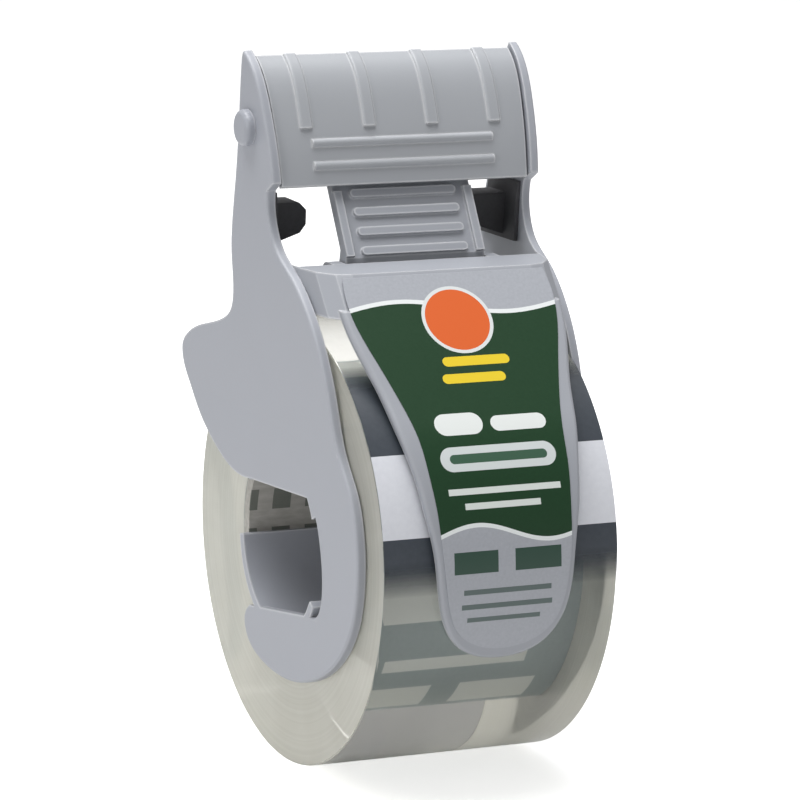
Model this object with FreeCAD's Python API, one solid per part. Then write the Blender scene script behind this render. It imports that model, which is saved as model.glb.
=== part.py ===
import FreeCAD, Part
import math
import os

# Frame: X across the tape, Y towards the back, Z up, millimetres.
# The pieces are drawn about the axis the tape roll turns on, midway across the tape.
# At the end they are moved together so that the roll stands on Z = 0 and the origin
# is midway between the front of the label and the back of the hooks.

# --- tape roll -------------------------------------------------------------
TAPE_WIDTH = 48.0            # 1.88 in packaging tape
ROLL_RADIUS = 42.9           # full roll
DRAWN_RADIUS = 42.9          # the roll that the outlines below are drawn round
LIFT = ROLL_RADIUS - DRAWN_RADIUS     # raises everything above the roll
CORE_BORE_RADIUS = 19.05     # 1.5 in paper core
CORE_WALL = 2.5
PRINT_THICKNESS = 0.15       # printed liner wrapped on the core
STARTER_THICKNESS = 0.12     # starter label wrapped on the last turn

# --- side plates -----------------------------------------------------------
PLATE_THICKNESS = 1.8
ROLL_SIDE_GAP = 0.35         # air between roll end and plate
SPLAY_START = 22.0           # height where the plates begin to lean outwards
SPLAY_SLOPE = 0.0406         # outward lean, mm per mm of height
EDGE_ROUND = 0.5
HUB_GAP = 0.35               # air between hub tabs and core bore
HUB_WALL = 1.8
HUB_DEPTH = 16.0

# --- applicator roller and cover --------------------------------------------
AXLE_Y = 14.0
AXLE_Z = 77.8 + LIFT
AXLE_RADIUS = 1.5
RUNNING_FIT = 0.08           # radial clearance of turning pieces on their pins
STATIC_FIT = 0.02            # radial clearance of pins that do not turn
ROLLER_RADIUS = 5.0
ROLLER_END_GAP = 0.45
CAP_RADIUS = 3.5
CAP_HEIGHT = 2.0
COVER_WALL = 1.5
COVER_SIDE_GAP = 0.45
RIB_HEIGHT = 0.45
RIB_HALF_WIDTH = 1.3
CHEEK_WALL = 1.2
EYE_RADIUS = 3.3

# --- cutter -----------------------------------------------------------------
BLADE_THICKNESS = 0.5
BLADE_PITCH = 1.6
BLADE_TOOTH = 1.1
BLADE_REACH = 4.6
BLADE_HALF_WIDTH = 24.8
BLADE_TILT = 15.0            # degrees above level
STAKE_RADIUS = 0.9
STAKE_X = (-18.0, -6.0, 6.0, 18.0)

# --- front panel -------------------------------------------------------------
PANEL_WALL = 1.5
LEDGE_Z = 54.0 + LIFT        # top of the ledge under the thumb lever
LEDGE_FRONT_Y = -13.3
LEDGE_BACK_Y = -3.45
TONGUE_GAP = 0.85            # air between the starter label and the tongue
TONGUE_ROUND = 0.8           # rounding of the tongue's outer edge
LABEL_THICKNESS = 0.12

# --- thumb lever ---------------------------------------------------------------
LEVER_Y = 0.4                # hinge pin centre
LEVER_Z = 51.6 + LIFT
LEVER_PIN_RADIUS = 1.0
LEVER_HUB_RADIUS = 2.3
LEVER_HALF_WIDTH = 14.5
LEVER_WALL = 1.7
SHOE_GAP = 1.3               # air between brake shoe and starter label radius
SHOE_THICKNESS = 1.6
SHOE_HALF_WIDTH = 9.0
SPRING_WIRE = 0.5
SPRING_RADIUS = 1.6          # mean radius of the coil
SPRING_TURNS = 4
SPRING_X = 9.8               # first turn, measured from the middle plane

# --- tape rests and rear tie bar -------------------------------------------------
REST_LENGTH = 8.5
REST_STUD_RADIUS = 1.6
REST_PAD = 0.8               # thickness of the pad against the plate
SOCKET_SKIN = 0.6            # plate left behind a blind socket
TIE_Y = 43.2
TIE_Z = 27.6 * ROLL_RADIUS / DRAWN_RADIUS
TIE_RADIUS = 2.3

HALF_TAPE = TAPE_WIDTH / 2
STARTER_RADIUS = ROLL_RADIUS + STARTER_THICKNESS
TONGUE_INNER = STARTER_RADIUS + TONGUE_GAP
TONGUE_OUTER = TONGUE_INNER + PANEL_WALL
PLATE_INNER = HALF_TAPE + ROLL_SIDE_GAP
PLATE_OUTER = PLATE_INNER + PLATE_THICKNESS
V = FreeCAD.Vector
ACROSS = V(1, 0, 0)


def lifted(points):
    """Drawn (across, height) points made to suit the roll: raised above it, scaled beside it."""
    share = [max(-1.0, min(1.0, height / DRAWN_RADIUS)) for across, height in points]
    return [(across, height + LIFT * s) for (across, height), s in zip(points, share)]


def inner_x(z):
    """Distance of a plate's inner face from the middle plane at height z."""
    return PLATE_INNER + max(0.0, z - SPLAY_START) * SPLAY_SLOPE


def polar(radius, degrees):
    """Point (y, z) on a circle about the roll axis, 0 at the back, 90 on top."""
    angle = math.radians(degrees)
    return radius * math.cos(angle), radius * math.sin(angle)


def yz_edge(points):
    """Straight edge for two (y, z) points, smooth curve for more."""
    vectors = [V(0, y, z) for y, z in points]
    if len(vectors) == 2:
        return Part.LineSegment(vectors[0], vectors[1]).toShape()
    curve = Part.BSplineCurve()
    curve.interpolate(vectors)
    return curve.toShape()


def yz_prism(runs, x_low, x_high):
    """Solid between two X positions whose side outline is a list of point runs."""
    face = Part.Face(Part.Wire([yz_edge(run) for run in runs]))
    face.translate(V(x_low, 0, 0))
    return face.extrude(V(x_high - x_low, 0, 0))


def yz_polygon(points, x_low, x_high):
    """Solid between two X positions with a straight-sided side outline."""
    runs = [[points[i - 1], points[i]] for i in range(len(points))]
    return yz_prism(runs, x_low, x_high)


def rod(radius, x_low, x_high, y, z):
    """Cylinder lying across the tape."""
    return Part.makeCylinder(radius, x_high - x_low, V(x_low, y, z), ACROSS)


def between_plates(gap, z_low=-60.0, z_high=110.0):
    """Wedge-shaped space between the plates, kept a gap away from both."""
    low = PLATE_INNER - gap
    high = inner_x(z_high) - gap
    points = [(-low, z_low), (low, z_low), (low, SPLAY_START), (high, z_high),
              (-high, z_high), (-low, SPLAY_START)]
    wire = Part.makePolygon([V(x, -90, z) for x, z in points + points[:1]])
    return Part.Face(wire).extrude(V(0, 180, 0))


def mirrored(shape):
    return shape.mirror(V(0, 0, 0), ACROSS)


# --- side plates ------------------------------------------------------------

EAR_FRONT = lifted([(16.2, 92.2), (10.8, 87.8), (7.0, 81.2), (4.3, 74.4), (2.9, 68.8)])
NECK_FRONT = lifted([(5.6, 67.0), (5.2, 61.0), (2.0, 56.2), (-4.0, 52.8), (-9.8, 48.8),
                     (-16.6, 41.4), (-21.8, 31.6), (-26.0, 22.2), (-31.2, 16.4), (-34.6, 9.0),
                     (-35.6, 1.0), (-34.0, -7.8), (-28.0, -16.2), (-20.0, -21.6),
                     (-10.5, -25.0), (0.0, -26.0), (8.5, -24.9), (13.6, -22.6), (15.6, -19.4),
                     (13.6, -15.8)])
NOTCH_FRONT = [(-15.5, -10.8), (-18.6, -9.4), (-19.9, -6.0), (-19.7, -1.0),
               (-18.0, 5.0), (-15.2, 9.6), (-11.0, 11.4)]
HOOK_REAR = lifted([(14.7, 9.2), (25.5, 9.8), (32.2, 12.4), (39.5, 16.6), (45.4, 22.0),
                    (48.4, 25.8), (48.8, 28.8), (46.2, 31.6), (37.6, 35.2), (28.4, 38.0),
                    (23.8, 41.0), (22.6, 46.0), (23.2, 52.0), (22.6, 58.5), (20.8, 66.5),
                    (19.2, 75.0), (18.0, 84.0), (16.9, 90.8)])


def plate_outline():
    """Side outline of a plate: ear on top, neck, body with hook, notch and foot."""
    return [
        EAR_FRONT,
        [EAR_FRONT[-1], NECK_FRONT[0]],
        NECK_FRONT,
        [NECK_FRONT[-1], NOTCH_FRONT[0]],
        NOTCH_FRONT,
        [NOTCH_FRONT[-1], HOOK_REAR[0]],
        HOOK_REAR,
        [HOOK_REAR[-1], EAR_FRONT[0]],
    ]


def splayed_sheet(inner_gap, thickness):
    """Flat sheet beside the roll that leans outwards above the roll."""
    sheet = between_plates(inner_gap - thickness).cut(between_plates(inner_gap))
    return sheet.common(Part.makeBox(60, 200, 200, V(10, -100, -70)))


def hub_tab(start, end):
    """Curved tab that enters the core, between two angles about the roll axis."""
    outer = CORE_BORE_RADIUS - HUB_GAP
    inner = outer - HUB_WALL
    low = PLATE_INNER - HUB_DEPTH
    depth = PLATE_OUTER - low
    ring = rod(outer, low, low + depth, 0, 0).cut(rod(inner, low, low + depth, 0, 0))
    reach = 3 * outer
    middle = (start + end) / 2
    fan = [(0.0, 0.0)] + [polar(reach, a) for a in (start, middle, end)]
    return ring.common(yz_polygon(fan, low, low + depth))


def front_rim(shape):
    """Curved edges of a plate's outer face on the front side and in the notch."""
    found = []
    for edge in shape.Edges:
        first, last = edge.FirstParameter, edge.LastParameter
        start, middle, end = [edge.valueAt(p) for p in (first, (first + last) / 2, last)]
        outside = all(abs(p.x - inner_x(p.z) - PLATE_THICKNESS) < 0.01 for p in (start, end))
        if outside and edge.Curve.TypeId != "Part::GeomLine" and middle.y < 12:
            found.append(edge)
    return found


def right_plate():
    blank = yz_prism(plate_outline(), 20, 40)
    plate = blank.common(splayed_sheet(0, PLATE_THICKNESS))
    plate = plate.makeFillet(EDGE_ROUND, front_rim(plate))
    plate = plate.fuse(hub_tab(32, 152)).fuse(hub_tab(208, 352)).removeSplitter()
    plate = plate.cut(rod(AXLE_RADIUS + STATIC_FIT, 20, 40, AXLE_Y, AXLE_Z))
    rest_y, rest_z = rest_centre()
    plate = plate.cut(rod(REST_STUD_RADIUS + STATIC_FIT, 20, socket_end(rest_z), rest_y, rest_z))
    return plate.cut(rod(TIE_RADIUS + STATIC_FIT, 20, socket_end(TIE_Z), TIE_Y, TIE_Z))


def socket_end(z):
    """Distance from the middle plane of a blind socket's end in a plate at height z."""
    return inner_x(z) + PLATE_THICKNESS - SOCKET_SKIN


def rest_centre():
    """Centre (y, z) of the stud that holds a tape rest."""
    return 14.6, 59.7 + LIFT


def tape_rest():
    """Rubber pad on the inside of the right neck, with a finger that points inwards."""
    y, z = rest_centre()
    root = inner_x(z - 5)
    tip = root - REST_LENGTH
    side = [(root + 1, z + 3.7), (tip + 1.5, z + 3.7), (tip, z + 2.2), (tip, z - 0.6),
            (tip + 1.2, z - 2.2), (root + 1, z - 5.0)]
    wire = Part.makePolygon([V(x, y - 3.2, h) for x, h in side + side[:1]])
    finger = Part.Face(wire).extrude(V(0, 6.4, 0))
    along = [e for e in finger.Edges if abs(e.Vertexes[0].Y - e.Vertexes[-1].Y) > 6]
    finger = finger.makeFillet(0.6, along[1:-1])
    pad = yz_polygon([(6.8, z + 6.6), (18.9, z + 6.6), (20.9, z - 5.4), (6.4, z - 5.0)], 20, 30)
    pad = pad.cut(between_plates(REST_PAD))
    stud = rod(REST_STUD_RADIUS, root - 2, socket_end(z) - 0.1, y, z)
    return finger.fuse(pad).common(between_plates(0)).fuse(stud).removeSplitter()


def rear_tie_bar():
    """Round bar that holds the two hooks apart, shouldered against each plate."""
    shoulder = inner_x(TIE_Z - TIE_RADIUS - 1)
    end = socket_end(TIE_Z) - 0.1
    bar = rod(TIE_RADIUS, -end, end, TIE_Y, TIE_Z)
    sleeve = rod(TIE_RADIUS + 1, -shoulder, shoulder, TIE_Y, TIE_Z)
    return bar.fuse(sleeve).removeSplitter()


# --- tape roll ---------------------------------------------------------------

def tube(outer, inner, half_width):
    whole = rod(outer, -half_width, half_width, 0, 0)
    return whole.cut(rod(inner, -half_width, half_width, 0, 0))


def tape_core():
    return tube(CORE_BORE_RADIUS + CORE_WALL, CORE_BORE_RADIUS, HALF_TAPE)


def core_print():
    inner = CORE_BORE_RADIUS + CORE_WALL
    return tube(inner + PRINT_THICKNESS, inner, HALF_TAPE)


def tape_winding():
    inner = CORE_BORE_RADIUS + CORE_WALL + PRINT_THICKNESS
    return tube(ROLL_RADIUS, inner, HALF_TAPE)


def starter_label():
    """Printed strip on the front of the last turn that holds the tape's free end."""
    band = tube(STARTER_RADIUS, ROLL_RADIUS, HALF_TAPE)
    fan = [(0.0, 0.0)] + [polar(3 * ROLL_RADIUS, a) for a in (118, 150, 182)]
    return band.common(yz_polygon(fan, -HALF_TAPE, HALF_TAPE))


# --- roller, axle and caps -----------------------------------------------------

def roller_axle():
    half = inner_x(AXLE_Z) + PLATE_THICKNESS + CAP_HEIGHT / 2
    return rod(AXLE_RADIUS, -half, half, AXLE_Y, AXLE_Z)


def applicator_roller():
    """Roller bored for the axle, with narrow grip grooves round it."""
    cheek = inner_x(AXLE_Z - ROLLER_RADIUS) - COVER_SIDE_GAP - CHEEK_WALL
    half = cheek - ROLLER_END_GAP
    roller = rod(ROLLER_RADIUS, -half, half, AXLE_Y, AXLE_Z)
    pitch = 4.0
    count = int((half - 2) / pitch)
    for i in range(-count, count + 1):
        x = i * pitch
        groove = rod(ROLLER_RADIUS + 1, x - 0.4, x + 0.4, AXLE_Y, AXLE_Z)
        roller = roller.cut(groove.cut(rod(ROLLER_RADIUS - 0.35, x - 1, x + 1, AXLE_Y, AXLE_Z)))
    return roller.cut(rod(AXLE_RADIUS + RUNNING_FIT, -half, half, AXLE_Y, AXLE_Z))


def axle_cap():
    """Domed cap pressed on the axle end against the right plate's outer face."""
    face = inner_x(AXLE_Z) + PLATE_THICKNESS
    cap = rod(CAP_RADIUS, face - 1, face + CAP_HEIGHT, AXLE_Y, AXLE_Z)
    rim = [e for e in cap.Edges if e.Vertexes[0].X > face + 1 and e.Closed]
    cap = cap.makeFillet(1.1, rim)
    bore = rod(AXLE_RADIUS + STATIC_FIT, face - 2, face + CAP_HEIGHT / 2 + 0.1, AXLE_Y, AXLE_Z)
    return cap.cut(between_plates(-PLATE_THICKNESS)).cut(bore)


# --- blade cover -----------------------------------------------------------------

COVER_FRONT = lifted([(15.6, 91.2), (11.6, 87.9), (8.0, 81.6), (5.4, 74.8), (3.5, 67.8)])


def offset_points(points, distance):
    """Points moved square to the line they lie on, towards the roller."""
    moved = []
    for i, (y, z) in enumerate(points):
        before = points[max(i - 1, 0)]
        after = points[min(i + 1, len(points) - 1)]
        dy, dz = after[0] - before[0], after[1] - before[1]
        length = math.hypot(dy, dz)
        moved.append((y - dz / length * distance, z + dy / length * distance))
    return moved


def cover_shell(depth_out, depth_in, x_low, x_high):
    """Curved slab following the cover front, between two depths below it."""
    outer = offset_points(COVER_FRONT, depth_out)
    inner = offset_points(COVER_FRONT, depth_in)
    runs = [outer, [outer[-1], inner[-1]], inner[::-1], [inner[0], outer[0]]]
    return yz_prism(runs, x_low, x_high)


def cover_cheek():
    """Side wall that joins the cover to its eye on the axle, on the right."""
    low, high = 20, 40
    inner = offset_points(COVER_FRONT, COVER_WALL / 2)
    web = [(AXLE_Y, AXLE_Z + 2.6), (inner[2][0], inner[2][1] + 1.6), inner[3],
           (inner[4][0], inner[4][1] + 0.8), (AXLE_Y - 0.4, AXLE_Z - 2.8)]
    cheek = yz_polygon(web, low, high).fuse(rod(EYE_RADIUS, low, high, AXLE_Y, AXLE_Z))
    room = between_plates(COVER_SIDE_GAP).cut(between_plates(COVER_SIDE_GAP + CHEEK_WALL))
    cheek = cheek.common(room)
    return cheek.cut(rod(AXLE_RADIUS + RUNNING_FIT, low, high, AXLE_Y, AXLE_Z))


def cover_bar(fraction, half_width):
    """Raised thumb bar across the cover, at a fraction of its front from the top."""
    y, z = cover_point(fraction)
    return rod(0.85, -half_width, half_width, y + 0.25, z)


def cover_point(fraction):
    curve = yz_edge(COVER_FRONT)
    first, last = curve.FirstParameter, curve.LastParameter
    point = curve.valueAt(first + (last - first) * fraction)
    return point.y, point.z


def cover_rib(x):
    """Low rounded rib down the upper half of the cover."""
    rib = cover_shell(-RIB_HEIGHT, COVER_WALL / 2, x - RIB_HALF_WIDTH, x + RIB_HALF_WIDTH)
    front = cover_shell(-RIB_HEIGHT - 0.1, -RIB_HEIGHT, x - 5, x + 5)
    crests = [e for e in rib.Edges if e.Curve.TypeId == "Part::GeomBSplineCurve"
              and e.distToShape(front)[0] < 0.01]
    upper = Part.makeBox(10, 40, 30, V(x - 5, -10, AXLE_Z + 0.7))
    return rib.makeFillet(0.9 * RIB_HEIGHT, crests).common(upper)


def blade_cover():
    """Visor between the ears: front shell, two thumb bars, four ribs, two cheeks."""
    shell = cover_shell(0, COVER_WALL, -30, 30)
    for x in (-19.8, -6.6, 6.6, 19.8):
        shell = shell.fuse(cover_rib(x))
    shell = shell.fuse(cover_bar(0.70, 19.0)).fuse(cover_bar(0.86, 19.0))
    shell = shell.common(between_plates(COVER_SIDE_GAP))
    cheek = cover_cheek()
    return shell.fuse(cheek).fuse(mirrored(cheek)).removeSplitter()


# --- cutter -----------------------------------------------------------------------

def tilted(shape, y, z):
    shape.rotate(V(0, y, z), ACROSS, BLADE_TILT)
    return shape


def blade_seat():
    """Front edge (y, z) of the blade's underside."""
    return 15.0, 84.9 + LIFT


def blade_holder():
    """Bar between the ears with a tilted top and four stakes through the blade."""
    y, z = blade_seat()
    bar = Part.makeBox(80, 3.1, 2.0, V(-40, y, z - 2.0))
    for x in STAKE_X:
        post = Part.makeCylinder(STAKE_RADIUS, BLADE_THICKNESS + 0.3, V(x, y + 1.5, z))
        bar = bar.fuse(post)
    return tilted(bar, y, z).common(between_plates(0)).removeSplitter()


def blade():
    """Steel strip with a saw-tooth rear edge and holes for the stakes."""
    y, z = blade_seat()
    points = [(-BLADE_HALF_WIDTH, 0.0)]
    count = int(2 * BLADE_HALF_WIDTH / BLADE_PITCH)
    for i in range(count):
        left = -BLADE_HALF_WIDTH + i * BLADE_PITCH
        points.append((left, BLADE_REACH - BLADE_TOOTH))
        points.append((left + BLADE_PITCH / 2, BLADE_REACH))
    right = -BLADE_HALF_WIDTH + count * BLADE_PITCH
    points += [(right, BLADE_REACH - BLADE_TOOTH), (right, 0.0)]
    wire = Part.makePolygon([V(x, y + d, z) for x, d in points + points[:1]])
    strip = Part.Face(wire).extrude(V(0, 0, BLADE_THICKNESS))
    for x in STAKE_X:
        strip = strip.cut(Part.makeCylinder(STAKE_RADIUS + STATIC_FIT, 2, V(x, y + 1.5, z - 1)))
    return tilted(strip, y, z)


# --- front panel and its label -------------------------------------------------------

TONGUE_EDGE = lifted([(22.7, 48.0), (22.4, 44.0), (21.2, 39.3), (19.7, 34.4), (18.4, 28.0),
                      (16.9, 21.4), (15.8, 14.6), (14.5, 7.6), (13.7, 0.5), (12.1, -6.2),
                      (8.3, -11.3), (0.0, -13.7)])
LABEL_EDGE = lifted([(20.8, 53.4), (20.7, 45.2), (18.6, 39.4), (16.7, 34.2), (14.9, 27.8),
                     (14.3, 21.4), (13.7, 15.0), (13.3, 8.5), (12.7, 2.6), (11.7, -3.2),
                     (9.7, -7.6), (6.0, -10.4), (0.0, -11.6)])


def tangent_angle():
    """Angle about the roll axis where the flat front meets the curved tongue."""
    corner = math.hypot(LEDGE_FRONT_Y, LEDGE_Z)
    lean = math.degrees(math.atan2(LEDGE_Z, LEDGE_FRONT_Y))
    return lean + math.degrees(math.acos(TONGUE_OUTER / corner))


def front_sheet(outer, inner, x_half, last_angle):
    """Sheet that drops flat from the ledge corner and then bends round the roll."""
    angle = tangent_angle()
    square = math.radians(angle)
    away_y, away_z = math.cos(square), math.sin(square)

    def top_at(radius):
        shift = radius - TONGUE_OUTER
        return LEDGE_FRONT_Y + away_y * shift, LEDGE_Z + away_z * shift

    def bend(radius):
        middle = (angle + last_angle) / 2
        return [polar(radius, a) for a in (angle, middle, last_angle)]

    def arc(points):
        return Part.Arc(*[V(0, y, z) for y, z in points]).toShape()

    out, back = bend(outer), bend(inner)[::-1]
    edges = [
        yz_edge([top_at(outer), out[0]]),
        arc(out),
        yz_edge([out[-1], back[0]]),
        arc(back),
        yz_edge([back[-1], top_at(inner)]),
        yz_edge([top_at(inner), top_at(outer)]),
    ]
    face = Part.Face(Part.Wire(edges))
    face.translate(V(-x_half, 0, 0))
    return face.extrude(V(2 * x_half, 0, 0))


def front_outline(edge_points):
    """Prism running front to back inside a symmetric outline given by its right half."""
    right = [V(x, -80, z) for x, z in edge_points]
    left = [V(-x, -80, z) for x, z in edge_points[-2::-1]]
    curve = Part.BSplineCurve()
    curve.interpolate(right + left)
    top = Part.LineSegment(left[-1], right[0]).toShape()
    return Part.Face(Part.Wire([curve.toShape(), top])).extrude(V(0, 90, 0))


def bow(z, shift):
    """Plan outline of the crossbar at height z: bowed front, open to the back."""
    drop = (LEDGE_Z - z) / math.tan(math.radians(tangent_angle() - 90))
    half = inner_x(z)
    front = [(half, LEDGE_BACK_Y - drop * 1.1), (24.3, -9.2 - drop), (21.6, -12.5 - drop),
             (18.6, LEDGE_FRONT_Y - drop)]
    front = [(x, y + shift) for x, y in front]
    return front + [(-x, y) for x, y in front[::-1]]


def crossbar():
    """Bowed wall from plate to plate with a flat ledge on top."""
    bottom = LEDGE_Z - 7.6
    wires = []
    for z in (LEDGE_Z, bottom):
        outer = bow(z, 0)
        inner = bow(z, PANEL_WALL * 1.25)
        ring = outer + inner[::-1]
        wires.append(Part.makePolygon([V(x, y, z) for x, y in ring + ring[:1]]))
    wall = Part.makeLoft(wires, True, True)
    plan = bow(LEDGE_Z, 0) + [(-inner_x(LEDGE_Z), LEDGE_BACK_Y), (inner_x(LEDGE_Z), LEDGE_BACK_Y)]
    wire = Part.makePolygon([V(x, y, LEDGE_Z - PANEL_WALL) for x, y in plan + plan[:1]])
    ledge = Part.Face(wire).extrude(V(0, 0, PANEL_WALL))
    return wall.fuse(ledge)


def hinge_lug(low, high):
    """Cheek under the ledge that carries one end of the lever pin."""
    web = [(-7.5, LEDGE_Z - PANEL_WALL), (LEDGE_BACK_Y, LEDGE_Z - 0.2),
           (LEVER_Y, LEVER_Z + 2.2), (LEVER_Y, LEVER_Z - 2.2), (-7.5, LEVER_Z - 0.6)]
    return yz_polygon(web, low, high).fuse(rod(2.2, low, high, LEVER_Y, LEVER_Z))


def round_rim(tongue):
    """Tongue with its outer edge rounded, so the rim falls back to the roll."""
    skin = front_sheet(TONGUE_OUTER + 0.1, TONGUE_OUTER, 24, 201)
    rim = [e for e in tongue.Edges if e.Curve.TypeId == "Part::GeomBSplineCurve"
           and e.distToShape(skin)[0] < 0.01]
    return tongue.makeFillet(TONGUE_ROUND, rim)


def front_panel():
    """Crossbar, ledge, hinge lugs and the tongue that hangs in front of the roll."""
    tongue = front_sheet(TONGUE_OUTER, TONGUE_INNER, 24, 201)
    tongue = round_rim(tongue.common(front_outline(TONGUE_EDGE)))
    panel = crossbar().fuse(tongue)
    low = LEVER_HALF_WIDTH + 0.45
    lug = hinge_lug(low, low + 2.6)
    panel = panel.fuse(lug).fuse(mirrored(lug)).common(between_plates(0))
    bore = rod(LEVER_PIN_RADIUS + STATIC_FIT, -30, 30, LEVER_Y, LEVER_Z)
    return panel.cut(bore).removeSplitter()


def front_label():
    sheet = front_sheet(TONGUE_OUTER + LABEL_THICKNESS, TONGUE_OUTER, 24, 201)
    return sheet.common(front_outline(LABEL_EDGE))


# --- thumb lever -----------------------------------------------------------------------

PAD_LOW = (-1.6, 54.6 + LIFT)
PAD_HIGH = (7.0, 68.2 + LIFT)
PAD_LENGTH = math.hypot(PAD_HIGH[0] - PAD_LOW[0], PAD_HIGH[1] - PAD_LOW[1])


def pad_point(run, depth):
    """Point (y, z) a run up the pad from its lower edge and a depth behind its front."""
    along_y = (PAD_HIGH[0] - PAD_LOW[0]) / PAD_LENGTH
    along_z = (PAD_HIGH[1] - PAD_LOW[1]) / PAD_LENGTH
    y = PAD_LOW[0] + along_y * run + along_z * depth
    z = PAD_LOW[1] + along_z * run - along_y * depth
    return y, z


def pad_slab(front, back, start, end, x_low, x_high):
    """Block on the pad's slope: proud by front, deep by back, between two lengths."""
    corners = [pad_point(start, -front), pad_point(end, -front),
               pad_point(end, back), pad_point(start, back)]
    return yz_polygon(corners, x_low, x_high)


def pad_bar(centre):
    """Raised bar with rounded ends across the thumb pad."""
    half, height, root = 11.1, 0.7, 0.5
    bar = pad_slab(height, root, centre - 0.85, centre + 0.85, -half, half)
    corners = [e for e in bar.Edges if abs(e.Length - height - root) < 0.01]
    return bar.makeFillet(0.8, corners)


def thumb_lever():
    """Ribbed pad above the hinge and a brake arm that reaches back over the roll."""
    half = LEVER_HALF_WIDTH
    pad = pad_slab(0, LEVER_WALL, 0, PAD_LENGTH, -half, half)
    foot = yz_polygon([PAD_LOW, (-1.9, LEVER_Z + 0.4), (1.6, LEVER_Z + 1.6),
                       (1.0, 56.6 + LIFT)], -half, half)
    lever = pad.fuse(foot).fuse(rod(LEVER_HUB_RADIUS, -half, half, LEVER_Y, LEVER_Z))
    for side in (-1, 1):
        low = min(side * half, side * (half - 1.7))
        lever = lever.fuse(pad_slab(0.7, 0.5, 0.2, 13.6, low, low + 1.7))
    for centre in (1.2, 5.2, 9.2, 13.0):
        lever = lever.fuse(pad_bar(centre))
    lever = lever.fuse(brake_arm())
    coil_room = SPRING_TURNS * SPRING_WIRE + 0.6
    lever = lever.cut(rod(2.6, SPRING_X - 0.6, SPRING_X + coil_room, LEVER_Y, LEVER_Z))
    bore = rod(LEVER_PIN_RADIUS + RUNNING_FIT, -half, half, LEVER_Y, LEVER_Z)
    return lever.cut(bore).removeSplitter()


def shoe_radius():
    return STARTER_RADIUS + SHOE_GAP


def brake_arm():
    seat = shoe_radius() + SHOE_THICKNESS
    side = [(LEVER_Y + 0.9, LEVER_Z + 1.9), (15.6, 44.9 + LIFT), polar(seat - 0.6, 71),
            polar(seat - 0.9, 76), polar(seat - 0.6, 81), (LEVER_Y - 1.2, LEVER_Z - 1.9)]
    arm = yz_polygon(side, -SHOE_HALF_WIDTH, SHOE_HALF_WIDTH)
    return arm.cut(rod(seat, -30, 30, 0, 0))


def brake_shoe():
    """Rubber block under the brake arm, curved to the full roll."""
    low = shoe_radius()
    ring = tube(low + SHOE_THICKNESS, low, SHOE_HALF_WIDTH - 0.4)
    fan = [(0.0, 0.0)] + [polar(3 * low, a) for a in (71.6, 76, 80.4)]
    return ring.common(yz_polygon(fan, -30, 30))


def lever_pin():
    half = LEVER_HALF_WIDTH + 0.45 + 2.6 + 0.4
    return rod(LEVER_PIN_RADIUS, -half, half, LEVER_Y, LEVER_Z)


def spring_leg(x, start, end):
    run = V(0, end[0] - start[0], end[1] - start[1])
    return Part.makeCylinder(0.88 * SPRING_WIRE / 2, run.Length, V(x, *start), run)


def lever_spring():
    """Close coil round the lever pin, one leg behind the pad and one below the ledge."""
    pitch = 0.92 * SPRING_WIRE
    last = SPRING_X + pitch * (SPRING_TURNS - 1)
    rings = []
    for turn in range(SPRING_TURNS):
        centre = V(SPRING_X + pitch * turn, LEVER_Y, LEVER_Z)
        rings.append(Part.makeTorus(SPRING_RADIUS, SPRING_WIRE / 2, centre, ACROSS))
    rest = pad_point(6.5, LEVER_WALL + SPRING_WIRE / 2 + 0.05)
    upper = spring_leg(SPRING_X, (LEVER_Y + SPRING_RADIUS, LEVER_Z), rest)
    lower = spring_leg(last, (LEVER_Y, LEVER_Z - SPRING_RADIUS), (-7.2, LEVER_Z - 0.9))
    return rings[0].fuse(rings[1:]).fuse(upper).fuse(lower)


def main():
    plate = right_plate()
    cap = axle_cap()
    rest = tape_rest()
    pieces = {
        "right_side_plate": plate,
        "left_side_plate": mirrored(plate),
        "front_panel": front_panel(),
        "front_label": front_label(),
        "rear_tie_bar": rear_tie_bar(),
        "right_tape_rest": rest,
        "left_tape_rest": mirrored(rest),
        "roller_axle": roller_axle(),
        "right_axle_cap": cap,
        "left_axle_cap": mirrored(cap),
        "applicator_roller": applicator_roller(),
        "blade_cover": blade_cover(),
        "blade_holder": blade_holder(),
        "cutting_blade": blade(),
        "thumb_lever": thumb_lever(),
        "brake_shoe": brake_shoe(),
        "lever_pin": lever_pin(),
        "lever_spring": lever_spring(),
        "tape_core": tape_core(),
        "core_print": core_print(),
        "tape_winding": tape_winding(),
        "starter_label": starter_label(),
    }
    os.makedirs("parts", exist_ok=True)
    front = pieces["front_label"].optimalBoundingBox().YMin
    rear = plate.optimalBoundingBox().YMax
    home = V(0, -(front + rear) / 2, ROLL_RADIUS)
    print("roll axis at", home)
    for name, shape in pieces.items():
        shape.translate(home)
        shape.exportStep("parts/" + name + ".step")
        print(name, shape.isValid(), len(shape.Solids), round(shape.Volume, 1))


main()
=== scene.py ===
# %% [markdown]
# # A packing-tape dispenser
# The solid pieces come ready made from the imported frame, each as a named node.
# They could be modelled again here, but then the looks and the measured solids
# could drift apart, so this lesson only dresses them: every piece gets its
# finish, the clear tape is wound, and the camera, lamps and floor are set.
# Lengths are written in millimetres and turned into metres at the last moment.

# %% Load the frame
import bpy
import math
from mathutils import Matrix, Vector


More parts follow.
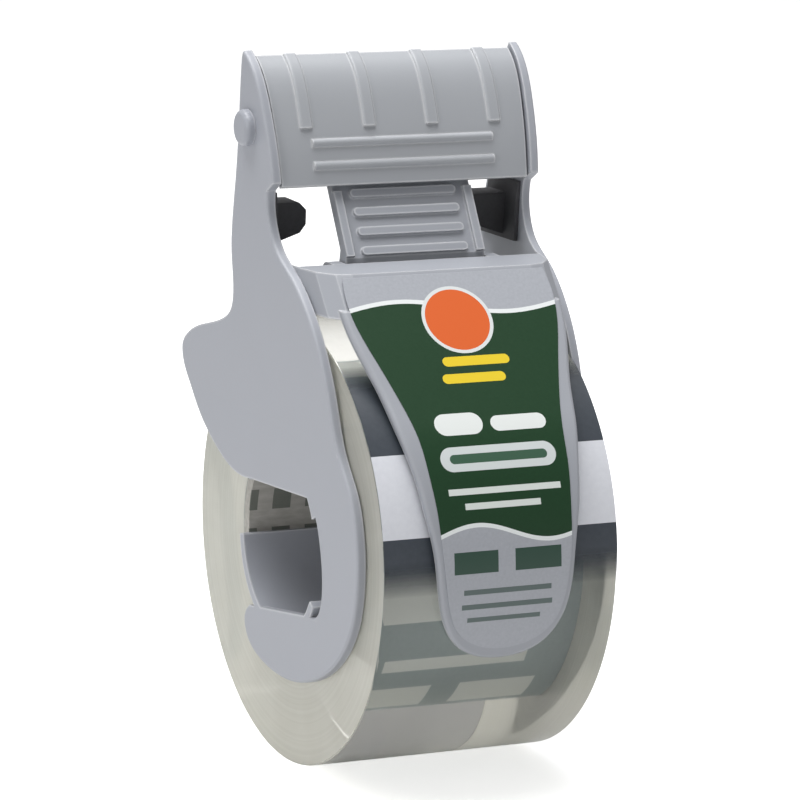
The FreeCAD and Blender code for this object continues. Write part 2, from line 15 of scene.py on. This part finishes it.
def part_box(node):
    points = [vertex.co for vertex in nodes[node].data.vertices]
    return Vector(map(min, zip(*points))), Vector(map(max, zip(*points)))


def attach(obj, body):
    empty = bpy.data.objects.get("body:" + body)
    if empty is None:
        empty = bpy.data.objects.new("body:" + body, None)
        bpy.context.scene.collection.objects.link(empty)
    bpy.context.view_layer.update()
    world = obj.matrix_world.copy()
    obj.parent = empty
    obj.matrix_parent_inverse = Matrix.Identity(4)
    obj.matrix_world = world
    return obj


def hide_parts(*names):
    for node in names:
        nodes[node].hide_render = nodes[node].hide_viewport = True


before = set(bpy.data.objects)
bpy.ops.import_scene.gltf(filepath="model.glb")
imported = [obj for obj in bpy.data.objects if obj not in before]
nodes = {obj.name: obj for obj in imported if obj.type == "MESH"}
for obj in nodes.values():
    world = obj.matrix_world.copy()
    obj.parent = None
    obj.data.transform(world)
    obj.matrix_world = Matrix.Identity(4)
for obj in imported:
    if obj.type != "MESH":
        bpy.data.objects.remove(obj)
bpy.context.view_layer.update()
MM = 0.001
print("pieces in the frame:", len(nodes))

# %% [markdown]
# ## Where the tape roll turns
# Most drawings on this object follow the roll, so its axis is the handiest place
# to measure from. It could be typed in as two numbers, but the wound tape is a
# plain ring, so its box gives the axis and keeps it right if the roll changes.

# %% Roll axis
low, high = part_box("tape_winding")
AXIS_Y = (low.y + high.y) / 2 / MM
AXIS_Z = (low.z + high.z) / 2 / MM
ROLL_RADIUS = (high.z - low.z) / 2 / MM
HALF_TAPE = (high.x - low.x) / 2 / MM
print("roll axis at y %.2f, z %.2f; radius %.2f" % (AXIS_Y, AXIS_Z, ROLL_RADIUS))

# %% [markdown]
# ## Arithmetic on shader sockets
# A pattern such as a stripe is a formula of the place on the surface. It could
# be wired by hand, one Math node after another, but that is slow to read. Here a
# wrapped socket can be added, multiplied or compared with ordinary signs, and
# each sign adds one Math node, so a formula reads as it would on paper.


# %% Socket arithmetic
class Value:
    """A number socket of a shader that does arithmetic with ordinary signs."""

    def __init__(self, finish, socket):
        self.finish = finish
        self.socket = socket

    def math(self, operation, *others):
        return self.finish.math(operation, self, *others)

    def flipped(self, operation, other):
        return self.finish.math(operation, other, self)

    def __add__(self, other):
        return self.math("ADD", other)

    __radd__ = __add__

    def __sub__(self, other):
        return self.math("SUBTRACT", other)

    def __rsub__(self, other):
        return self.flipped("SUBTRACT", other)

    def __mul__(self, other):
        return self.math("MULTIPLY", other)

    __rmul__ = __mul__

    def __truediv__(self, other):
        return self.math("DIVIDE", other)

    def __rtruediv__(self, other):
        return self.flipped("DIVIDE", other)

    def __lt__(self, other):
        return self.math("LESS_THAN", other)

    def __gt__(self, other):
        return self.math("GREATER_THAN", other)

    def __abs__(self):
        return self.math("ABSOLUTE")

    def __pow__(self, other):
        return self.math("POWER", other)

    def least(self, other):
        return self.math("MINIMUM", other)

    def most(self, other):
        return self.math("MAXIMUM", other)

    def sine(self):
        return self.math("SINE")

    def within(self, low, high):
        """1 between low and high, 0 outside."""
        return (self > low) * (self < high)

    def ramp(self, low, high):
        """0 below low, 1 above high, straight in between."""
        share = (self - low) / (high - low)
        return share.most(0.0).least(1.0)


print("signs a socket understands: + - * / < > ** and abs")

# %% [markdown]
# ## One finish, one small workshop
# A finish is what a piece is made of: its colour, its shine and its small bumps.
# Picture files would do, but they stretch on curved parts. Patterns worked out
# from the place on the surface do not, so each finish owns a node tree with a
# Principled shader. `add` makes any node from its type, its settings and what
# goes into its sockets, and `mix` blends two colours.


# %% Finish workshop
class Finish:
    """A procedural material with helpers for places, noise, colours and bumps."""

    def __init__(self, name, **uniform):
        self.material = bpy.data.materials.new(name)
        self.material.use_nodes = True
        self.tree = self.material.node_tree
        self.surface = self.tree.nodes["Principled BSDF"]
        self.out = self.tree.nodes["Material Output"]
        self.place = None
        for key, amount in uniform.items():
            self.surface.inputs[key.replace("_", " ")].default_value = amount

    def feed(self, place, item):
        if isinstance(item, Value):
            self.tree.links.new(item.socket, place)
        elif isinstance(item, bpy.types.NodeSocket):
            self.tree.links.new(item, place)
        else:
            place.default_value = item

    def add(self, kind, settings, inputs):
        node = self.tree.nodes.new(kind)
        for key, setting in settings.items():
            setattr(node, key, setting)
        for key, item in inputs.items():
            self.feed(node.inputs[key], item)
        return node

    def math(self, operation, *items):
        settings = {"operation": operation}
        node = self.add("ShaderNodeMath", settings, dict(enumerate(items)))
        return Value(self, node.outputs[0])

    def position(self):
        """Object-space place in millimetres from the roll axis, as x, y, z."""
        if self.place is None:
            found = self.add("ShaderNodeTexCoord", {}, {}).outputs["Object"]
            apart = self.add("ShaderNodeSeparateXYZ", {}, {0: found})
            x, y, z = [Value(self, s) / MM for s in apart.outputs]
            self.place = (x, y - AXIS_Y, z - AXIS_Z)
        return self.place

    def grain(self, size, stretch=(1, 1, 1), detail=2.0, seed=0.0):
        """Noise between 0 and 1 with features about `size` millimetres across."""
        x, y, z = self.position()
        moved = self.add("ShaderNodeCombineXYZ", {}, {
            0: x * stretch[0] / size + seed,
            1: y * stretch[1] / size,
            2: z * stretch[2] / size})
        noise = self.add("ShaderNodeTexNoise", {}, {
            "Vector": moved.outputs[0], "Scale": 1.0, "Detail": detail})
        return Value(self, noise.outputs["Fac"])

    def edge(self, reach):
        """1 on outer corners, fading to 0 over `reach` millimetres of flat surface."""
        soft = self.add("ShaderNodeBevel", {"samples": 6}, {"Radius": reach * MM})
        true = self.add("ShaderNodeNewGeometry", {}, {}).outputs["Normal"]
        along = self.add("ShaderNodeVectorMath", {"operation": "DOT_PRODUCT"}, {
            0: soft.outputs[0], 1: true})
        return Value(self, along.outputs["Value"]).ramp(0.995, 0.90)

    def mix(self, share, first, second):
        node = self.add("ShaderNodeMix", {"data_type": "RGBA"}, {
            "Factor": share, 6: first, 7: second})
        return node.outputs[2]

    def blend(self, share, first, second):
        """One shader over another, by a share from 0 to 1."""
        return self.add("ShaderNodeMixShader", {}, {0: share, 1: first, 2: second}).outputs[0]

    def show(self, shader):
        """Makes a shader the one that the material shows."""
        self.feed(self.out.inputs["Surface"], shader)

    def set(self, **linked):
        for key, item in linked.items():
            self.feed(self.surface.inputs[key.replace("_", " ")], item)
        return self

    def relief(self, height, depth, round_edges=0.0):
        """Bumps of a height pattern, depth in millimetres, on softly rounded edges."""
        inputs = {"Height": height, "Distance": depth * MM, "Strength": 1.0}
        if round_edges:
            soft = self.add("ShaderNodeBevel", {"samples": 4}, {"Radius": round_edges * MM})
            inputs["Normal"] = soft.outputs[0]
        bump = self.add("ShaderNodeBump", {}, inputs)
        return self.set(Normal=bump.outputs[0])

    def wear(self, *names):
        """Puts this finish on frame nodes."""
        for name in names:
            mesh = nodes[name].data
            mesh.materials.clear()
            mesh.materials.append(self.material)
        return self


def colour(red, green, blue):
    """A display colour, 0 to 255, as linear light with alpha 1."""
    def linear(part):
        share = part / 255
        return share / 12.92 if share <= 0.04045 else ((share + 0.055) / 1.055) ** 2.4
    return (linear(red), linear(green), linear(blue), 1.0)


print("mid grey as linear light:", round(colour(128, 128, 128)[0], 3))

# %% [markdown]
# ## Moulded grey plastic
# The body pieces are one grey plastic from different moulds, so their greys differ
# by a shade. One flat colour would look like card: fine grain breaks up the
# shine, a slow drift of tone keeps large faces alive, and paler corners are a
# painted highlight, standing in for the light caught on rounded edges. One
# helper makes all five, as they share it.


# %% Grey plastic
def moulded(name, shade, rounding):
    finish = Finish(name, IOR=1.49)
    fine = finish.grain(0.35, detail=1.0)
    slow = finish.grain(14.0, detail=2.0, seed=3.0)
    darker = tuple(0.94 * part for part in shade[:3]) + (1.0,)
    painted_highlight = tuple(1.0 - 0.55 * (1.0 - part) for part in shade[:3]) + (1.0,)
    body = finish.mix(slow, darker, shade)
    # Corners are mixed towards a paler grey: a painted highlight on the rounded edges.
    finish.set(Base_Color=finish.mix(finish.edge(0.7) * 0.8, body, painted_highlight),
               Roughness=0.30 + 0.12 * fine + 0.06 * slow)
    return finish.relief(fine, 0.012, rounding)


plate_grey = moulded("plate_grey", colour(163, 166, 174), 0.35)
plate_grey.wear("left_side_plate", "right_side_plate")
panel_grey = moulded("panel_grey", colour(158, 161, 168), 0.3)
panel_grey.wear("front_panel", "rear_tie_bar", "blade_holder")
cap_grey = moulded("cap_grey", colour(163, 166, 174), 0.3)
cap_grey.wear("left_axle_cap", "right_axle_cap")
cover_grey = moulded("cover_grey", colour(164, 167, 172), 0.3)
cover_grey.wear("blade_cover")
lever_grey = moulded("lever_grey", colour(160, 163, 170), 0.25)
lever_grey.wear("thumb_lever")
print("grey finishes:", [m.name for m in bpy.data.materials if m.name.endswith("grey")])

# %% [markdown]
# ## Rubber and painted shade
# The brake shoe is matt black rubber that grips the tape. The tape rests wear
# the same near-black, and on them it is also painted shade, standing for the
# dark inside of the head behind the windows. A plain black would hide their
# shape, so a small grain changes both the tone and the roughness, and the
# corners are softened as moulded rubber's are.


# %% Rubber and painted shade
rubber_and_shade = Finish("black_rubber", Roughness=0.7)
skin = rubber_and_shade.grain(0.5, detail=3.0)
rubber_and_shade.set(Base_Color=rubber_and_shade.mix(skin, colour(66, 66, 68), colour(84, 84, 87)),
           Roughness=0.62 + 0.2 * skin)
rubber_and_shade.relief(skin, 0.03, 0.3)
# On the two tape rests this near-black is also painted shade for the inside of the head.
rubber_and_shade.wear("left_tape_rest", "right_tape_rest", "brake_shoe")
print("rubber pieces: two tape rests and the brake shoe")

# %% [markdown]
# ## Steel and the white roller
# The blade, the two pins and the spring are bare steel. Rolled or drawn metal
# keeps fine streaks along its length, made here by stretching the noise along
# one direction. The roller is hard white plastic, scuffed round its turn.


# %% Steel and roller
def steel(name, shade, stretch, roughness):
    finish = Finish(name, Metallic=1.0)
    streaks = finish.grain(0.25, stretch=stretch, detail=3.0)
    darker = tuple(0.8 * part for part in shade[:3]) + (1.0,)
    finish.set(Base_Color=finish.mix(streaks, darker, shade),
               Roughness=roughness + 0.18 * streaks)
    return finish.relief(streaks, 0.004)


steel("blade_steel", colour(205, 207, 210), (1, 0.05, 0.05), 0.22).wear("cutting_blade")
steel("pin_steel", colour(190, 192, 195), (0.05, 1, 1), 0.25).wear("roller_axle", "lever_pin")
steel("spring_steel", colour(150, 152, 156), (1, 1, 1), 0.3).wear("lever_spring")

roller_white = Finish("roller_white", IOR=1.5)
scuff = roller_white.grain(1.5, stretch=(0.3, 1, 1), detail=3.0)
roller_white.set(Base_Color=roller_white.mix(scuff, colour(205, 206, 208), colour(228, 229, 231)),
                 Roughness=0.28 + 0.2 * scuff)
roller_white.relief(scuff, 0.01, 0.2).wear("applicator_roller")
print("metal finishes:", [m.name for m in bpy.data.materials if m.name.endswith("steel")])

# %% [markdown]
# ## Cardboard core and its printed sleeve
# The core is plain grey board, with a row of dark stamped bars in its bore. The
# sleeve round it is teal paper with pale bars, which shows through the tape.
# Both prints go round the roll, so they are drawn from the angle about its axis
# and the distance along it: a flat drawing would stretch at the sides.


# %% Core and sleeve
BORE_RADIUS = 19.05
BORE_SKIN = 0.3
TURN = 180 / math.pi
board = Finish("core_board", Roughness=0.85)
fibre = board.grain(0.9, stretch=(0.35, 1, 1), detail=4.0)
x, y, z = board.position()
reach = (y * y + z * z) ** 0.5
turn = z.math("ARCTAN2", y) * TURN
stamp = (turn / 24).math("FRACT").within(0.2, 0.75) * (x / 7).math("FRACT").within(0.25, 0.8)
stamp = stamp * (reach < BORE_RADIUS + BORE_SKIN) * (0.6 + 0.4 * fibre)
plain = board.mix(fibre, colour(150, 147, 140), colour(196, 194, 188))
board.set(Base_Color=board.mix(stamp * 0.8, plain, colour(44, 62, 50)))
board.relief(fibre, 0.05)
board.wear("tape_core")

sleeve = Finish("core_sleeve", Roughness=0.55)
x, y, z = sleeve.position()
turn = y.math("ARCTAN2", z) * TURN
bar_row = (turn / 60).math("FRACT")
bar = bar_row.within(0.10, 0.46) * abs(x).within(3.0, 19.0)
thin = bar_row.within(0.66, 0.78) * abs(x).within(0.0, 15.0)
sleeve_grain = sleeve.grain(0.8, detail=3.0)
teal = sleeve.mix(sleeve_grain, colour(146, 160, 163), colour(160, 173, 176))
sleeve.set(Base_Color=sleeve.mix(bar.most(thin) * 0.9, teal, colour(228, 232, 230)))
sleeve.relief(sleeve_grain, 0.01)
sleeve.wear("core_print")
print("core bore and sleeve finished")

# %% [markdown]
# ## Starter strip
# A strip lies on the outermost turn: dark, then a white band, then dark, and its
# ends fade into the clear tape. Its node is one thin sheet, so the bands are
# drawn from the angle round the roll, and the fade is drawn in Alpha.


# %% Starter strip
starter = Finish("starter_strip", Roughness=0.45)
x, y, z = starter.position()
turn = z.math("ARCTAN2", y) * TURN
turn = turn + (turn < 0) * 360
strip_grain = starter.grain(1.0, detail=3.0)
dark = starter.mix(strip_grain, colour(54, 60, 68), colour(66, 72, 80))
white = starter.mix(strip_grain, colour(208, 210, 217), colour(220, 222, 228))
shown = turn.ramp(118.0, 128.0) * (turn * -1.0).ramp(-181.0, -172.0)
WHITE_BAND = (145.5, 166.5)
starter.set(Base_Color=starter.mix(turn.within(*WHITE_BAND), dark, white), Alpha=shown)
starter.relief(strip_grain, 0.008)
starter.wear("starter_label")
print("white band over %.0f degrees of the turn" % (WHITE_BAND[1] - WHITE_BAND[0]))

# %% [markdown]
# ## Clear tape
# The wound ring is clear at its outer turn and cloudy where the cut edges of a
# few hundred turns show at its sides. Glass alone would be too clean there, so
# the sides mix in a pale face that also passes light. Its tone is blended from
# two even shaders, because a blend factor is cheap to work out. Shadow rays pass
# straight through, so the core inside is lit.


# %% Clear tape
tape = Finish("clear_tape", Roughness=0.06, IOR=1.47, Transmission_Weight=1.0)
tape.surface.inputs["Base Color"].default_value = colour(251, 250, 245)
x, y, z = tape.position()
reach = (y * y + z * z) ** 0.5
turns = tape.add("ShaderNodeTexNoise", {"noise_dimensions": "1D"}, {
    "W": reach * 1.3, "Scale": 1.0, "Detail": 4.0})
turns = Value(tape, turns.outputs["Fac"])
cloud = tape.grain(9.0, detail=2.0, seed=7.0)
tone = turns * 0.6 + cloud * 0.4
EDGE_DARK = colour(222, 220, 208)
EDGE_PALE = colour(250, 249, 240)
cut_face = tape.add("ShaderNodeBsdfPrincipled", {}, {
    "Base Color": tape.mix(tone, EDGE_DARK, EDGE_PALE), "Roughness": 0.32, "IOR": 1.45})
dark_glow = tape.add("ShaderNodeBsdfTranslucent", {}, {"Color": EDGE_DARK})
pale_glow = tape.add("ShaderNodeBsdfTranslucent", {}, {"Color": EDGE_PALE})
through = tape.blend(tone, dark_glow.outputs[0], pale_glow.outputs[0])
CLOUDY_SHARE = 0.75
cloudy = tape.blend(0.5, cut_face.outputs[0], through)
side_look = tape.blend(CLOUDY_SHARE, tape.surface.outputs[0], cloudy)
SIDE_SKIN = 0.02
whole = tape.blend(abs(x) > HALF_TAPE - SIDE_SKIN, tape.surface.outputs[0], side_look)
passing = tape.add("ShaderNodeBsdfTransparent", {}, {"Color": colour(248, 247, 242)})
shadow = tape.add("ShaderNodeLightPath", {}, {}).outputs["Is Shadow Ray"]
tape.show(tape.blend(shadow, whole, passing.outputs[0]))
tape.relief(tape.grain(6.0, stretch=(1, 0.3, 0.3), detail=2.0), 0.03)
print("the cloudy sides begin %.2f mm from the middle" % (HALF_TAPE - SIDE_SKIN))

# %% [markdown]
# ## The wound ring
# On the real roll this is several hundred turns of film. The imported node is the
# same ring in flat facets, and each facet bends light its own way, which shows
# as streaks in clear tape. So the ring is turned again here with smooth sides
# and soft rims. Its bore sits just inside the core print, because a gap of air
# there would mirror the light and hide the print.


# %% Wound ring
def lathe(name, profile, steps=256):
    """A ring turned about the roll axis from a closed (x, radius) outline in millimetres."""
    points = []
    faces = []
    count = len(profile)
    for step in range(steps):
        angle = 2 * math.pi * step / steps
        for along, radius in profile:
            points.append((along * MM, (AXIS_Y + radius * math.cos(angle)) * MM,
                           (AXIS_Z + radius * math.sin(angle)) * MM))
    for step in range(steps):
        this, following = step * count, (step + 1) % steps * count
        for i in range(count):
            j = (i + 1) % count
            faces.append((this + i, following + i, following + j, this + j))
    mesh = bpy.data.meshes.new(name)
    mesh.from_pydata(points, [], faces)
    mesh.update()
    ring = bpy.data.objects.new(name, mesh)
    bpy.context.collection.objects.link(ring)
    return ring


low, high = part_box("core_print")
OVERLAP = 0.1
BORE = (high.z - low.z) / 2 / MM - OVERLAP
RIM_ROUND = 0.35
RIM_STEPS = 3
left_rim = []
for step in range(RIM_STEPS + 1):
    slope = math.pi / 2 * step / RIM_STEPS
    inward = RIM_ROUND * (1 - math.cos(slope))
    sunk = RIM_ROUND * (1 - math.sin(slope))
    left_rim.append((inward - HALF_TAPE, ROLL_RADIUS - sunk))
right_rim = [(-along, radius) for along, radius in reversed(left_rim)]
outline = left_rim + right_rim + [(HALF_TAPE, BORE), (-HALF_TAPE, BORE)]
wound = lathe("wound_tape", outline)
for face in wound.data.polygons:
    face.use_smooth = True
wound.data.set_sharp_from_angle(angle=math.radians(35))
wound.modifiers.new("even_normals", "WEIGHTED_NORMAL").keep_sharp = True
wound.data.materials.append(tape.material)
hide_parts("tape_winding")
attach(wound, "roll")
print("tape ring %.1f mm wide, outline of %d points" % (2 * HALF_TAPE, len(outline)))

# %% [markdown]
# ## Front label
# The label is one printed sheet stuck over the panel and its tongue. A picture
# could be wrapped on it, but sharp edges come cleaner from formulas. It is drawn
# in its own sheet: x across, and v up from the line where the flat panel starts
# to bend round the roll. Below that line, v follows the arc.


# %% Label sheet
BEND = math.radians(139.17)
BEND_RADIUS = 45.5
label = Finish("front_label", Roughness=0.35, IOR=1.5)
x, y, z = label.position()
flat = y * math.sin(BEND) - z * math.cos(BEND)
behind = (z * -1.0).math("ARCTAN2", y * -1.0)
curved = (behind + (math.pi - BEND)) * -BEND_RADIUS
v = flat.most(0.0) + curved.least(0.0)
print("the label bends %.1f mm from the roll axis" % BEND_RADIUS)

# %% [markdown]
# ## Silver and green fields
# The print starts as silver all over. A dark green field with wavy ends covers
# the middle, each end edged with a thin pale line. The waves could be drawn as
# curves, but a sine of x is one line each and stays smooth at any size.


# %% Label fields
top_edge = 24.05 - 1.65 * (x * (2 * math.pi / 45)).sine()
low_edge = -21.85 - 1.75 * ((x - 1.5) * (2 * math.pi / 30)).sine()
field = (v < top_edge) * (v > low_edge)
rim = (abs(v - top_edge) < 0.45).most(abs(v - low_edge) < 0.4)
silver_noise = label.grain(0.5, stretch=(1, 1, 1), detail=2.0)
silver = label.mix(silver_noise, colour(156, 159, 166), colour(172, 175, 182))
green = label.mix(silver_noise, colour(14, 52, 25), colour(20, 60, 31))
art = label.mix(field, silver, green)
art = label.mix(rim, art, colour(226, 230, 230))
print("green field between v = -22 and v = 24 mm, give or take its waves")

# %% [markdown]
# ## Artwork on the label
# On the fields lie a plain disc, bars with round ends and flat bars. None of it
# is lettering. Each shape is a mask, 1 inside and 0 outside, and is mixed over
# what is there already, so later lines lie on top of earlier ones.


# %% Label artwork
DISC_HEIGHT = 21.2
out = (x * x + (v - DISC_HEIGHT) ** 2.0) ** 0.5
art = label.mix(out < 7.2, art, colour(214, 218, 218))
art = label.mix(out < 6.5, art, colour(214, 96, 38))


def slab(left, right, low, high):
    """A flat bar of the artwork."""
    return x.within(left, right) * v.within(low, high)


def pill(left, right, low, high):
    """A bar of the artwork with round ends."""
    radius = (high - low) / 2
    middle = (high + low) / 2
    past = (abs(x - (left + right) / 2) - ((right - left) / 2 - radius)).most(0.0)
    return (past * past + (v - middle) ** 2.0) < radius * radius


YELLOW = colour(226, 198, 40)
WHITE = colour(222, 226, 224)
BOX_EDGE = colour(205, 211, 211)
BOX_INSIDE = colour(58, 92, 72)
FINE = colour(214, 220, 216)
DARK = colour(44, 72, 60)
SMALL = colour(86, 100, 98)
bars = (
    (pill, YELLOW, (-5.6, 8.2, 11.4, 13.4)),
    (pill, YELLOW, (-6.6, 6.4, 7.8, 9.8)),
    (pill, WHITE, (-11.0, -1.2, -2.9, 1.6)),
    (pill, WHITE, (0.4, 11.8, -2.6, 0.6)),
    (pill, BOX_EDGE, (-11.5, 12.2, -10.0, -5.2)),
    (pill, BOX_INSIDE, (-9.6, 10.4, -8.5, -6.7)),
    (slab, FINE, (-11.0, 12.0, -14.4, -13.2)),
    (slab, FINE, (-8.0, 7.5, -17.2, -16.0)),
    (slab, DARK, (-11.0, -2.0, -29.0, -24.9)),
    (slab, DARK, (1.5, 11.0, -29.0, -24.9)),
    (slab, SMALL, (-9.0, 9.0, -33.0, -32.0)),
    (slab, SMALL, (-9.3, 9.3, -35.8, -34.8)),
    (slab, SMALL, (-8.0, 7.0, -38.3, -37.4)))
for shape, ink, sides in bars:
    art = label.mix(shape(*sides), art, ink)
label.set(Base_Color=art, Roughness=0.30 + 0.1 * silver_noise)
label.relief(silver_noise, 0.004)
label.wear("front_label")
print("bars on the label:", len(bars))

# %% [markdown]
# ## Floor
# A product is shown on white, yet it needs a soft shadow to stand on. A floor
# that is white paint alone comes out grey, and one that glows would light the
# object from below. So the glow is there for the camera only, and every other
# ray meets plain paint.


# %% Floor
bpy.ops.mesh.primitive_plane_add(size=6)
floor = bpy.context.object
floor.name = "floor"
ground = Finish("floor_white", Roughness=0.6)
WHITE_PAINT = (0.8, 0.8, 0.8, 1)
ground.surface.inputs["Base Color"].default_value = WHITE_PAINT
glowing = ground.add("ShaderNodeBsdfPrincipled", {}, {
    "Base Color": WHITE_PAINT, "Roughness": 0.6, "Emission Color": (1, 1, 1, 1),
    "Emission Strength": 0.6})
seen = ground.add("ShaderNodeLightPath", {}, {}).outputs["Is Camera Ray"]
ground.show(ground.blend(seen, ground.surface.outputs[0], glowing.outputs[0]))
floor.data.materials.append(ground.material)
print("floor %.0f m wide" % floor.dimensions.x)

# %% [markdown]
# ## Lamps and world
# Grey plastic shows its shape by soft changes of tone, and a small hard lamp
# would break them up. A wide lamp overhead gives the main light, a weak one from
# the left opens the shadows, and an even white world fills in the rest.


# %% Lamps and world
world = bpy.data.worlds.new("studio")
bpy.context.scene.world = world
world.use_nodes = True
air = world.node_tree.nodes["Background"]
air.inputs["Color"].default_value = (1.0, 1.0, 1.0, 1)
air.inputs["Strength"].default_value = 0.31


def lamp(name, place, aim, size, watts):
    """A square soft lamp at a place, aimed at a point, in metres."""
    light = bpy.data.lights.new(name, "AREA")
    light.shape = "SQUARE"
    light.size = size
    light.energy = watts
    holder = bpy.data.objects.new(name, light)
    bpy.context.collection.objects.link(holder)
    holder.location = place
    ray = Vector(aim) - Vector(place)
    holder.rotation_euler = ray.to_track_quat("-Z", "Y").to_euler()
    return holder


AIM = (0, 0, 0.06)
lamp("overhead_lamp", (-0.1, 0.08, 0.95), AIM, 0.75, 12)
lamp("left_lamp", (-0.9, -0.35, 0.3), AIM, 0.28, 1.4)
print("lamps:", [light.name for light in bpy.data.lights])

# %% [markdown]
# ## Camera
# The view is from the front and a little to the left, from above, with a long
# lens, so that upright edges stay nearly parallel. The camera could be dragged
# into place, but three angles and a distance from the roll axis can be read and
# changed one at a time. `right` and `up` are its own two directions.


# %% Camera
YAW = math.radians(25.62)
PITCH = math.radians(12.28)
ROLL = math.radians(1.87)
DISTANCE = 873.05
SHIFT_LEFT = 0.522
SHIFT_UP = 25.451
ahead = Vector((math.sin(YAW) * math.cos(PITCH), math.cos(YAW) * math.cos(PITCH),
                -math.sin(PITCH)))
level = Vector((math.cos(YAW), -math.sin(YAW), 0))
upright = level.cross(ahead)
right = math.cos(ROLL) * level + math.sin(ROLL) * upright
up = math.cos(ROLL) * upright - math.sin(ROLL) * level
place = Vector((0, AXIS_Y, AXIS_Z)) - SHIFT_LEFT * right + SHIFT_UP * up - DISTANCE * ahead
lens = bpy.data.cameras.new("camera")
lens.lens = 203.58
lens.sensor_width = 36
camera = bpy.data.objects.new("camera", lens)
bpy.context.collection.objects.link(camera)
pose = Matrix((right, up, -ahead)).transposed().to_4x4()
pose.translation = place * MM
camera.matrix_world = pose
bpy.context.scene.camera = camera
bpy.context.scene.view_settings.view_transform = "Standard"
print("camera %.0f mm from the middle of the view" % DISTANCE)
